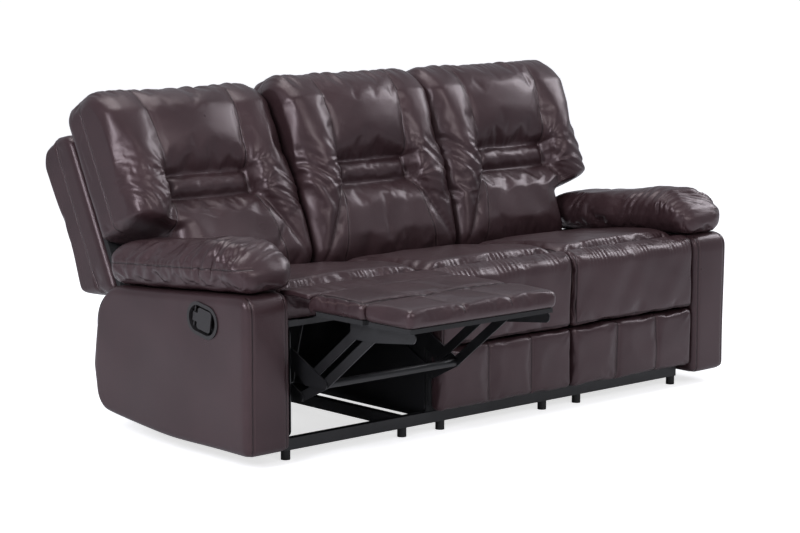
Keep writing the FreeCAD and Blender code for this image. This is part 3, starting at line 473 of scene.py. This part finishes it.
def back_cushion(unit, edges, waist, seed):
    """A back with a headrest, a lumbar roll and a lower pad between two long bolsters."""
    low, high = 0.032, 0.652
    width = edges[1] - edges[0]
    piece = piece_from(cell_block(width, 0.20, high - low), unit + "_back_cover")
    unitary = points_of(piece.data)
    if waist != edges:
        rows = (-1.0, -0.40, -0.08, 0.02, 1.0)
        unitary[:, 2] = np.interp(unitary[:, 2], rows, np.interp(
            (0.03, 0.215, 0.275, 0.295, 0.655), (0.03, 0.655), (-1, 1)))
    rounder = rounded(unitary, (width / 2, 0.10, (high - low) / 2), 0.062)
    level = low + rounder[:, 2] + (high - low) / 2
    wide = ease((level - BOLSTER_END) / BOLSTER_STEP)
    left = waist[0] + (edges[0] - waist[0]) * wide
    right = waist[1] + (edges[1] - waist[1]) * wide
    across = rounder[:, 0] / (width / 2)
    x = (left + right) / 2 + across * (right - left) / 2
    centre = (edges[0] + edges[1]) / 2
    share = np.abs(x - centre) / (width / 2)
    front = np.clip((0.02 - rounder[:, 1]) / 0.10, 0, 1)
    forward = np.clip((0.10 - rounder[:, 1]) / 0.20, 0, 1)
    rear = -0.057
    depth = rear + forward * 0.155 + ease(front) * (back_front(share, level) - 0.098)
    seam = seam_line(level)
    inner = np.abs(share - seam) < 0.012
    held = np.zeros(len(x))
    held[rounder[:, 1] > 0.02] = 1
    held[level < 0.045] = 1
    from_crease = np.minimum(np.abs(level - UPPER_CREASE), np.abs(level - LOWER_CREASE))
    creased = (from_crease < 0.006) & (share < seam)
    held[creased & (front > 0.5)] = 1
    held[inner & (front > 0.5) & (level < 0.6)] = 0.5
    local = np.column_stack((x, -depth, level))
    set_points(piece, local)
    sides = ease(front) * ease((share - seam) / 0.06)
    folds = waves(level + 0.25 * (share - seam) * np.sign(x - centre), 0.036, seed)
    seed_folds = 0.0026 * folds * sides * bell(level - 0.31, 0.08)
    top = waves(x, 0.05, seed + 1) * bell(level - 0.64, 0.035) * 0.0025
    push(piece, seed_folds + top + 0.0008 * rumple(local, 0.10, seed + 2))
    stuff(piece, held, pressure=2.2, slack=0.013, frames=16, cap=0.011, bending=1.6)
    refine(piece)
    local = points_of(piece.data)
    x, level = local[:, 0], local[:, 2]
    share = np.abs(x - centre) / (width / 2)
    seam = seam_line(level)
    front = ease((-local[:, 1] - 0.04) / 0.05)
    puckers = np.zeros(len(x))
    for sign in (-1, 1):
        for height in (UPPER_CREASE, LOWER_CREASE):
            spot = (centre + sign * (seam_line(np.array(height)) + 0.03) * width / 2, height)
            puckers += fan(x, level, spot, 10, 0.050, seed + round(1000 * height) + sign)
    gathered = bell(level - 0.645, 0.02) + 0.4 * bell(level - UPPER_CREASE - 0.008, 0.012)
    pleats = waves(x, 0.022, seed + 5) * gathered
    push(piece, front * (0.0030 * puckers * ease((share - seam + 0.12) / 0.2)) + 0.0016 * pleats)
    local = points_of(piece.data)
    slant = (share - seam) * width / 2
    gusset = width / 2 - np.abs(x - centre) - 0.004
    headrest = level > UPPER_CREASE
    bolster_seam = np.where(headrest & (front > 0.5), slant, FAR)
    lower_line = (share - np.interp(level, (0.05, 0.28), (0.66, 0.50))) * width / 2
    lower_seam = np.where((level < LOWER_CREASE - 0.01) & (front > 0.5), lower_line, FAR)
    side_line = np.where((gusset < 0.03) & (level > 0.10), -local[:, 1] - 0.045, FAR)
    write_seams(piece, nearest_seam((bolster_seam, lower_seam, side_line)), level)
    keep_between(piece, edges)
    lean_back(piece, unit)
    return complete(piece, BODY[unit], [unit + "_back_cushion"])


def keep_between(piece, edges):
    """No part of a back swells past its own sides, so the backs pass one another as they recline."""
    points = points_of(piece.data)
    points[:, 0] = np.clip(points[:, 0], *edges)
    set_points(piece, points)


def lean_back(piece, unit):
    """From the back's own upright frame to its place on the sofa."""
    place = Matrix.Translation((0, HINGE.y, HINGE.z)) @ Matrix.Rotation(-math.radians(LEAN[unit]), 4, "X")
    piece.data.transform(place)


def back_shell(unit, edges, seed):
    """The padded panel behind a back, deepest near its top, with a gusset round its edge."""
    low, high, front, rear = 0.101, 0.606, 0.0756, 0.243
    width = edges[1] - edges[0]
    piece = piece_from(cell_block(width, rear - front, high - low, 0.011), unit + "_shell_cover")
    round_block = rounded(points_of(piece.data), (width / 2, (rear - front) / 2, (high - low) / 2), 0.022)
    x = (edges[0] + edges[1]) / 2 + round_block[:, 0]
    back = np.clip((round_block[:, 1] + (rear - front) / 2) / (rear - front), 0, 1)
    level = (low + high) / 2 + round_block[:, 2]
    bottom = low + 0.06 * back ** 1.5
    top = np.interp(back, (0, 0.15, 0.45, 0.8, 1.0), (0.572, 0.594, 0.604, 0.590, 0.545))
    level = bottom + (level - low) / (high - low) * (top - bottom)
    belly = 0.010 * np.cos(np.clip(round_block[:, 0] / width, -0.5, 0.5) * math.pi) * (level - low)
    y = front + back * (rear - front - 0.004) + back * belly
    local = np.column_stack((x, y, level))
    set_points(piece, local)
    push(piece, 0.0016 * rumple(local, 0.16, seed) * back)
    stuff(piece, (back < 0.3).astype(float), pressure=1.2, slack=0.012, frames=12, cap=0.006, bending=1.5)
    refine(piece)
    local = points_of(piece.data)
    x, y, level = local.T
    edge = np.minimum(x - edges[0], edges[1] - x)
    fold = bell(edge - 0.004, 0.02) * bell(y - front - 0.075, 0.005) * ease((level - low - 0.1) / 0.1)
    push(piece, -0.004 * fold)
    side_line = np.where(edge < 0.03, y - front - 0.075, FAR)
    back_line = np.where(y > front + 0.12, edge - 0.045, FAR)
    write_seams(piece, nearest_seam((side_line, back_line)), level)
    keep_between(piece, edges)
    lean_back(piece, unit)
    return complete(piece, BODY[unit], [unit + "_back_shell"])


# Seats and front panels

def seat_cushion(unit, edges, seed):
    """A crowned seat, lower at the rear, gathered where it meets the roll in front of it."""
    front, rear, bottom = -0.2435, 0.162, 0.3745
    width = edges[1] - edges[0]
    piece = piece_from(cell_block(width, rear - front, 0.10), unit + "_seat_cover")
    round_block = rounded(points_of(piece.data), (width / 2, (rear - front) / 2, 0.05), 0.034)
    x = (edges[0] + edges[1]) / 2 + round_block[:, 0]
    y = (front + rear) / 2 + round_block[:, 1]
    up = (round_block[:, 2] + 0.05) / 0.10
    across = np.abs(round_block[:, 0]) / (width / 2)
    top = np.interp(y, (front, -0.22, -0.16, -0.08, 0.05, rear), (0.466, 0.470, 0.471, 0.466, 0.451, 0.437))
    top = top + 0.006 * (1 - across ** 2) - 0.008 * ease((across - 0.8) / 0.2)
    z = bottom + up * (top - bottom)
    local = np.column_stack((x, y, z))
    held = ((up < 0.3) | (across > 0.985) & (up < 0.6)).astype(float)
    set_points(piece, local)
    push(piece, 0.0012 * rumple(local, 0.12, seed) * up)
    stuff(piece, held, pressure=1.6, slack=0.02, frames=14, cap=0.008)
    refine(piece)
    local = points_of(piece.data)
    x, y, z = local.T
    gathers = waves(x + 0.2 * y, 0.016, seed + 3) * bell(y + 0.235, 0.040) * ease((z - 0.455) / 0.008)
    push(piece, 0.0012 * gathers * ease(0.6 + waves(x, 0.2, seed + 4)))
    edge = np.minimum(local[:, 0] - edges[0], edges[1] - local[:, 0])
    side = np.where(z > 0.44, edge - 0.012, FAR)
    write_seams(piece, side, y)
    return complete(piece, "sofa_base", [unit + "_seat_cushion"])


def front_panel(name, edges, span, seams, body, nodes, seed, angle=0):
    """A padded panel on its board: the upper one ends in a roll against the seat, the lower one has seams."""
    back, face = -0.257, -0.303
    width, tall = edges[1] - edges[0], span[1] - span[0]
    piece = piece_from(cell_block(width, back - face, tall, 0.0075), name)
    round_block = rounded(points_of(piece.data), (width / 2, (back - face) / 2, tall / 2), 0.017)
    x = (edges[0] + edges[1]) / 2 + round_block[:, 0]
    y = (back + face) / 2 + round_block[:, 1]
    z = (span[0] + span[1]) / 2 + round_block[:, 2]
    out = ease((back - y) / (back - face))
    if not seams:
        head = ease((z - span[1] + 0.022) / 0.012)
        y = y + head * 0.0115 * np.clip((y - face) / (back - face), 0, 1)
        fall = np.clip((z - span[1] + 0.055) / 0.055, 0, 1)
        y = y + (1 - np.sqrt(1 - 0.999 * fall ** 2)) * 0.030 * np.clip((back - y) / (back - face), 0, 1)
    across = round_block[:, 0] / (width / 2)
    up = round_block[:, 2] / (tall / 2)
    places = [edges[0] + share * width for share in seams]
    y = y - out * 0.004 * (1 - across ** 4) * (1 - up ** 4)
    for place in places:
        y = y + out * 0.0035 * bell(x - place, 0.010)
    local = np.column_stack((x, y, z))
    set_points(piece, local)
    push(piece, 0.0010 * rumple(local, 0.10, seed) * out)
    held = (out < 0.4).astype(float)
    stuff(piece, held, pressure=1.2, slack=0.012, frames=12, cap=0.004)
    refine(piece)
    local = points_of(piece.data)
    x, y, z = local.T
    puckers = sum(fan(x, z, (edge, level), 11, 0.03, seed + index)
                  for index, (edge, level) in enumerate((a, b) for a in edges for b in span))
    front = ease((back - 0.015 - y) / 0.02)
    push(piece, 0.0015 * puckers * front)
    if not seams:
        local = points_of(piece.data)
        roll = bell(local[:, 2] - span[1] + 0.012, 0.026)
        uneven = ease(0.6 + waves(local[:, 0], 0.22, seed + 10))
        push(piece, 0.0010 * waves(local[:, 0], 0.014, seed + 9) * roll * uneven)
    distances = [np.where(front > 0.3, x - place, FAR) for place in places]
    rim = np.minimum(np.minimum(x - edges[0], edges[1] - x), np.minimum(z - span[0], span[1] - z))
    distances.append(np.where(y > back - 0.030, FAR, rim - 0.010) if not places else np.full(len(x), FAR))
    write_seams(piece, nearest_seam(distances), z)
    if angle:
        turn = Matrix.Rotation(math.radians(angle), 4, "X")
        piece.data.transform(Matrix.Translation(POLE) @ turn @ Matrix.Translation(-POLE))
    return complete(piece, body, nodes)


def footrest_bridge(unit, edges):
    """The cover between an open footrest and its seat."""
    near, far = SEAT_FRONT, -0.372
    piece = piece_from(cell_block(edges[1] - edges[0], near - far, 0.02), unit + "_footrest_bridge")
    half = ((edges[1] - edges[0]) / 2, (near - far) / 2, 0.0085)
    round_block = rounded(points_of(piece.data), half, 0.008)
    centre = ((edges[0] + edges[1]) / 2, (near + far) / 2, BRIDGE_HEIGHT)
    local = round_block + np.array(centre)
    local[:, 2] += 0.0025 * bell(local[:, 1] - centre[1], 0.03) + 0.0012 * waves(local[:, 0], 0.05, 77)
    set_points(piece, local)
    refine(piece)
    write_seams(piece, np.full(len(piece.data.vertices), FAR), np.zeros(len(piece.data.vertices)))
    piece.data.materials.append(LEATHER)
    piece.data.polygons.foreach_set("use_smooth", [True] * len(piece.data.polygons))
    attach(piece, "sofa_base")
    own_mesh(piece)
    return piece


# Arms

def arm_top(y):
    """Height of the arm's raked top."""
    return 0.470 - (y - ARM_FRONT) / 0.712 * 0.050


def arm_cover(unit, side, seed):
    """The padded side panel: raked top, large round rear corner and a bottom that rises to the rear."""
    front, rear, inner, outer = ARM_FRONT, ARM_REAR, ARM_INNER, ARM_OUTER
    piece = piece_from(cell_block(outer - inner, rear - front, 0.44, 0.0095), unit + "_arm_panel")
    half = np.array(((outer - inner) / 2, (rear - front) / 2, 0.2175))
    round_block = rounded(points_of(piece.data), half, 0.024)
    y = (front + rear) / 2 + round_block[:, 1]
    up = (round_block[:, 2] + half[2]) / (2 * half[2])
    drop = 0.13 - np.sqrt(np.maximum(0.13 ** 2 - np.clip(y - (rear - 0.13), 0, 0.1299) ** 2, 0))
    shoulder = 0.055 - np.sqrt(np.maximum(0.055 ** 2 - np.clip(front + 0.055 - y, 0, 0.0549) ** 2, 0))
    top = arm_top(y) - drop - 0.6 * shoulder
    rise = 0.036 * np.clip((y - 0.02) / 0.38, 0, 1) ** 1.8 + 0.07 * np.clip((y - 0.34) / 0.066, 0, 1) ** 3
    bottom = 0.036 + rise
    z = bottom + up * (top - bottom)
    y = y + 0.018 * ease((y - 0.3) / 0.1) * (1 - 2 * np.abs(up - 0.35)) - 0.018 * ease((y - 0.3) / 0.1)
    x = (inner + outer) / 2 + round_block[:, 0]
    local = np.column_stack((x * side, y, z))
    set_points(piece, local)
    if side < 0:
        piece.data.flip_normals()
    push(piece, 0.0014 * rumple(local, 0.22, seed) - 0.001)
    refine(piece)
    local = points_of(piece.data)
    x, y, z = np.abs(local[:, 0]), local[:, 1], local[:, 2]
    edge = np.minimum(x - inner, outer - x)
    at_front = y < front + 0.03
    seam = np.where(at_front, edge - 0.020, FAR)
    push(piece, -0.0016 * bell(edge - 0.020, 0.004) * at_front)
    write_seams(piece, seam, z)
    cut_recess(piece, side, outer)
    complete(piece, "sofa_base", [unit + "_arm_cover"])
    piece.data.materials.append(FINISHES["timber"])
    for face in piece.data.polygons:
        inside = face.normal.x * side < -0.8 and face.center.y > -0.225 and abs(face.center.x) < inner + 0.01
        face.material_index = int(inside)
    return piece


def dust_cloth(unit, edges):
    """The black cloth behind a seat's mechanism, from the seat frame down to the rear rail."""
    top, foot = Vector((0, 0.246, 0.3545)), Vector((0, 0.336, 0.0605))
    block = bmesh.new()
    width = edges[1] - edges[0]
    place = Matrix.Translation(((edges[0] + edges[1]) / 2, 0, 0)) @ Matrix.Diagonal((width / 2, 1, 1, 1))
    bmesh.ops.create_grid(block, x_segments=36, y_segments=24, size=1, matrix=place)
    for vertex in block.verts:
        share = (vertex.co.y + 1) / 2
        spot = foot.lerp(top, share)
        sag = 0.010 * (1 - (2 * share - 1) ** 2) + 0.0015 * math.sin(vertex.co.x * 70) * (1 - share)
        vertex.co = Vector((vertex.co.x, spot.y + sag, spot.z))
    bmesh.ops.solidify(block, geom=block.faces, thickness=0.0012)
    bmesh.ops.recalc_face_normals(block, faces=block.faces)
    piece = piece_from(block, unit + "_dust_cloth")
    piece.data.materials.append(FINISHES["timber"])
    piece.data.polygons.foreach_set("use_smooth", [True] * len(piece.data.polygons))
    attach(piece, "sofa_base")


def cut_recess(piece, side, outer):
    """The hole for the lever's cup."""
    block = bmesh.new()
    bmesh.ops.create_cone(block, cap_ends=True, segments=48, depth=0.08,
                          radius1=CUP_RADIUS, radius2=CUP_RADIUS)
    for vertex in block.verts:
        vertex.co.x += CUP_HALF_LENGTH * (1 if vertex.co.x > 0 else -1)
    turn = Matrix.Rotation(math.radians(CUP_TILT), 4, "X") @ Matrix.Rotation(math.pi / 2, 4, "Z")
    place = Matrix.Translation((side * outer, *CUP_PLACE)) @ turn @ Matrix.Rotation(math.pi / 2, 4, "X")
    bmesh.ops.transform(block, matrix=place, verts=block.verts)
    bmesh.ops.recalc_face_normals(block, faces=block.faces)
    cutter = piece_from(block, "recess_cutter")
    modifier = piece.modifiers.new("recess", "BOOLEAN")
    modifier.operation = "DIFFERENCE"
    modifier.object = cutter
    cut = bpy.data.meshes.new_from_object(piece.evaluated_get(bpy.context.evaluated_depsgraph_get()))
    piece.modifiers.clear()
    piece.data = cut
    bpy.data.objects.remove(cutter)


def arm_pad(unit, side, seed):
    """A stuffed roll over the arm, gathered at its front end and along its outer seam."""
    front, rear, inner, outer = -0.290, 0.326, 0.764, 0.957
    width = outer - inner
    piece = piece_from(cell_block(width, rear - front, 0.15, 0.0075), unit + "_arm_roll")
    half = (width / 2, (rear - front) / 2, 0.07)
    round_block = rounded(points_of(piece.data), half, 0.056)
    y = (front + rear) / 2 + round_block[:, 1]
    up = (round_block[:, 2] + half[2]) / (2 * half[2])
    out = round_block[:, 0] / (width / 2)
    share = (y - front) / (rear - front)
    top = 0.594 - 0.056 * share + 0.010 * bell(share - 0.30, 0.16) - 0.042 * (1 - ease(share / 0.17))
    bottom = arm_top(np.maximum(y, ARM_FRONT)) + 0.001 - 0.010 * bell(share, 0.05)
    lift = 0.016 * np.clip(np.abs(out) - 0.75, 0, 1) / 0.25
    z = bottom + lift * (1 - up) + up * (top - bottom)
    x = (inner + outer) / 2 + round_block[:, 0]
    local = np.column_stack((x * side, y, z))
    set_points(piece, local)
    if side < 0:
        piece.data.flip_normals()
    gather = bell(share - 0.20, 0.16) + 0.35 * bell(share - 0.85, 0.15)
    over = ease((up - 0.15) / 0.2)
    folds = waves(y + 0.25 * (up - 0.5) * width, 0.040, seed) * gather * over
    push(piece, 0.0032 * folds + 0.0015 * rumple(local, 0.09, seed + 1))
    held = np.where(up < 0.12, 1.0, 0.0)
    held[(np.abs(up - 0.5) < 0.05) & (out > 0.9)] = 0.5
    stuff(piece, held, pressure=2.4, slack=0.035, frames=16, cap=0.011)
    refine(piece)
    local = points_of(piece.data)
    x, y, z = np.abs(local[:, 0]), local[:, 1], local[:, 2]
    share = (y - front) / (rear - front)
    level = (z - arm_top(y)) / 0.13
    crumple = waves(y + 0.35 * (x - inner), 0.017, seed + 7)
    crumple = crumple * bell(share - 0.13, 0.07) * ease((level - 0.45) / 0.3)
    pleats = waves(y, 0.020, seed + 8) * bell(level - 0.5, 0.22) * ease((x - outer + 0.05) / 0.03)
    push(piece, 0.0032 * crumple + 0.0012 * pleats * bell(share - 0.3, 0.25))
    line = np.where(x > outer - 0.05, z - (arm_top(y) + 0.066), FAR)
    write_seams(piece, line, y)
    return complete(piece, "sofa_base", [unit + "_arm_pad"])


# Light, floor and camera

def floor_finish():
    """Pale floor that the camera sees as white, apart from the sofa's shadow."""
    material, shader = finish("pale_floor", (0.82, 0.82, 0.84), 0.8)
    graph = Graph(material)
    path = graph.add("ShaderNodeLightPath")
    shader.inputs["Emission Color"].default_value = (1, 1, 1, 1)
    glow = graph.math("MULTIPLY", path.outputs["Is Camera Ray"], 0.70)
    graph.link(glow, shader.inputs["Emission Strength"])
    return material


def studio():
    """A pale floor that turns white to the camera, soft lamps and the photograph's viewpoint."""
    world = bpy.data.worlds.new("studio")
    scene.world = world
    world.use_nodes = True
    nodes, links = world.node_tree.nodes, world.node_tree.links
    sky = nodes["Background"]
    sky.inputs["Color"].default_value = (0.9, 0.92, 1.0, 1)
    sky.inputs["Strength"].default_value = 0.42
    white = nodes.new("ShaderNodeBackground")
    white.inputs["Color"].default_value = (1, 1, 1, 1)
    path = nodes.new("ShaderNodeLightPath")
    mix = nodes.new("ShaderNodeMixShader")
    links.new(path.outputs["Is Camera Ray"], mix.inputs[0])
    links.new(sky.outputs[0], mix.inputs[1])
    links.new(white.outputs[0], mix.inputs[2])
    links.new(mix.outputs[0], nodes["World Output"].inputs["Surface"])

    block = bmesh.new()
    bmesh.ops.create_grid(block, x_segments=1, y_segments=1, size=60)
    floor = piece_from(block, "floor")
    floor.data.materials.append(floor_finish())

    lamps = (
        ("left_window", (-4.2, -1.0, 2.6), 1.6, 108, (0.93, 0.94, 1.0)),
        ("front_box", (-0.2, -4.4, 3.4), 1.8, 55, (1.0, 0.98, 0.98)),
        ("right_box", (4.0, -0.6, 3.0), 1.6, 60, (0.95, 0.95, 1.0)),
        ("overhead", (0.0, 0.8, 4.0), 2.0, 45, (1.0, 1.0, 1.0)),
    )
    for name, place, size, power, colour in lamps:
        data = bpy.data.lights.new(name, "AREA")
        data.size = size
        data.energy = power
        data.color = colour
        lamp = bpy.data.objects.new(name, data)
        lamp.location = place
        lamp.rotation_euler = (Vector((0, 0, 0.45)) - Vector(place)).to_track_quat("-Z", "Y").to_euler()
        scene.collection.objects.link(lamp)

    data = bpy.data.cameras.new("camera")
    data.lens = 107.9
    data.sensor_width = 36
    camera = bpy.data.objects.new("camera", data)
    camera.location = (-4.733, -5.131, 1.476)
    camera.rotation_euler = (math.radians(90 - 8.61), 0, math.radians(-41.81))
    scene.collection.objects.link(camera)
    scene.camera = camera
    scene.view_settings.view_transform = "Standard"


dress_nodes()
back_cushion("left", (-BACK_OUTER, -BACK_SPLIT), (-BACK_WAIST, -BACK_SPLIT), 11)
back_cushion("middle", (-MIDDLE_BACK_HALF, MIDDLE_BACK_HALF), (-MIDDLE_BACK_HALF, MIDDLE_BACK_HALF), 21)
back_cushion("right", (BACK_SPLIT, BACK_OUTER), (BACK_SPLIT, BACK_WAIST), 31)
back_shell("left", (-SHELL_OUTER, -SHELL_SPLIT), 41)
back_shell("middle", (-MIDDLE_SHELL_HALF, MIDDLE_SHELL_HALF), 42)
back_shell("right", (SHELL_SPLIT, SHELL_OUTER), 43)
PANEL_NODES = {
    "left": ("left_flap_pad", "left_footrest_pad"),
    "middle": ("middle_upper_panel", "middle_lower_panel"),
    "right": ("right_flap_pad", "right_footrest_pad"),
}
for number, (unit, edges) in enumerate(SEATS.items()):
    seat_cushion(unit, edges, 50 + 5 * number)
    panel = (edges[0] + PANEL_GAP, edges[1] - PANEL_GAP)
    upper_node, lower_node = PANEL_NODES[unit]
    angle = -90 if unit == "left" else 0
    body = FOOTREST_BODY[unit]
    front_panel(unit + "_upper_cover", panel, UPPER_SPAN, (), body, [upper_node], 70 + number, angle)
    front_panel(unit + "_lower_cover", panel, LOWER_SPAN, LOWER_SEAMS, body, [lower_node], 80 + number, angle)
footrest_bridge("left", SEATS["left"])
dust_cloth("left", (-CLOTH_SIDES[1], -CLOTH_SIDES[0]))
dust_cloth("right", CLOTH_SIDES)
arm_cover("left", -1, 91)
arm_cover("right", 1, 92)
arm_pad("left", -1, 93)
arm_pad("right", 1, 97)
studio()
